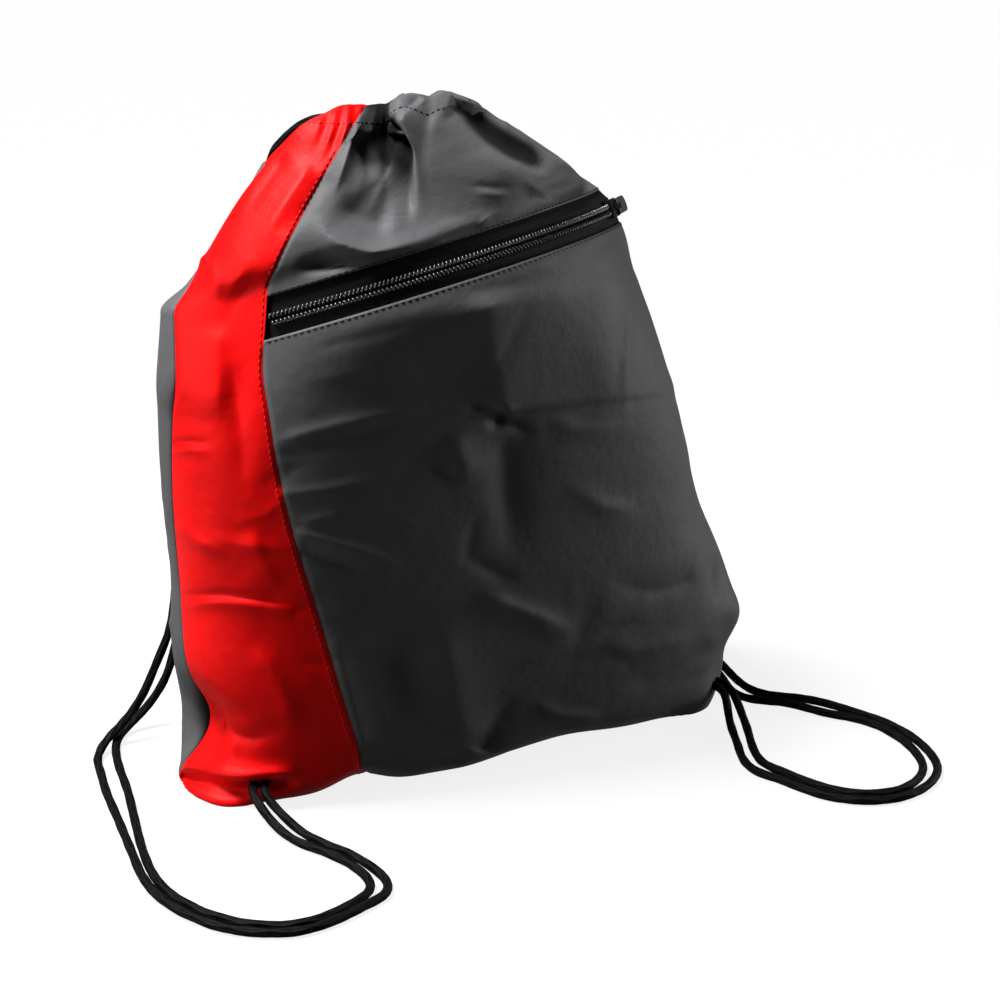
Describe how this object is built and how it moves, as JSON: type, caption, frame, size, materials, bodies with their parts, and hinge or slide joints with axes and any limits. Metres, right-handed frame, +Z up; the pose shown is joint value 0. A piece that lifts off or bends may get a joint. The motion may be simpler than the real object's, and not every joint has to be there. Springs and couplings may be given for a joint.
{
  "type": "drawstring backpack",
  "caption": "Stuffed drawstring backpack of thin cloth with a contrast side panel, a zipped front pocket, a gathered hem and doubled cord shoulder straps.",
  "frame": {"origin": "middle of the base on the floor, under the middle of the bag's box", "axes": "+Z up, the front with the zip faces -Y, the red panel is on the -X side"},
  "size_m": [0.4053, 0.2528, 0.3362],
  "materials": {
    "black_cloth": "satin woven",
    "red_cloth": "satin woven",
    "lining_cloth": "plain woven",
    "zip_tape": "herringbone woven",
    "zip_coil": "moulded coil",
    "slider_metal": "black enamel",
    "cord": "braided"
  },
  "bodies": {
    "bag": {"back_panel": "black_cloth", "side_panel": "red_cloth", "yoke_panel": "black_cloth", "pocket_panel": "black_cloth", "pocket_lining": "lining_cloth", "zip_tape_upper": "zip_tape", "zip_tape_lower": "zip_tape", "zip_coil_upper": "zip_coil", "zip_coil_lower": "zip_coil", "left_cord_hem": "cord", "left_strap_outer": "cord", "left_strap_inner": "cord", "left_knot": "cord", "right_cord_hem": "cord", "right_strap_outer": "cord", "right_strap_inner": "cord", "right_knot": "cord"},
    "slider": {"zip_slider": "slider_metal"},
    "pull": {"zip_pull": "slider_metal"}
  },
  "joints": [
    {"name": "zip_travel", "type": "hinge", "parent": "bag", "child": "slider", "pos_m": [-0.02774, 0.06138, 0.22813], "axis": [-0.1651, 0.309, 0.9366], "range_deg": [-86, 0]},
    {"name": "pull_flip", "type": "hinge", "parent": "slider", "child": "pull", "pos_m": [0.07894, -0.01636, 0.27314], "axis": [0.2443, -0.3657, -0.8981], "range_deg": [0, 170]}
  ]
}
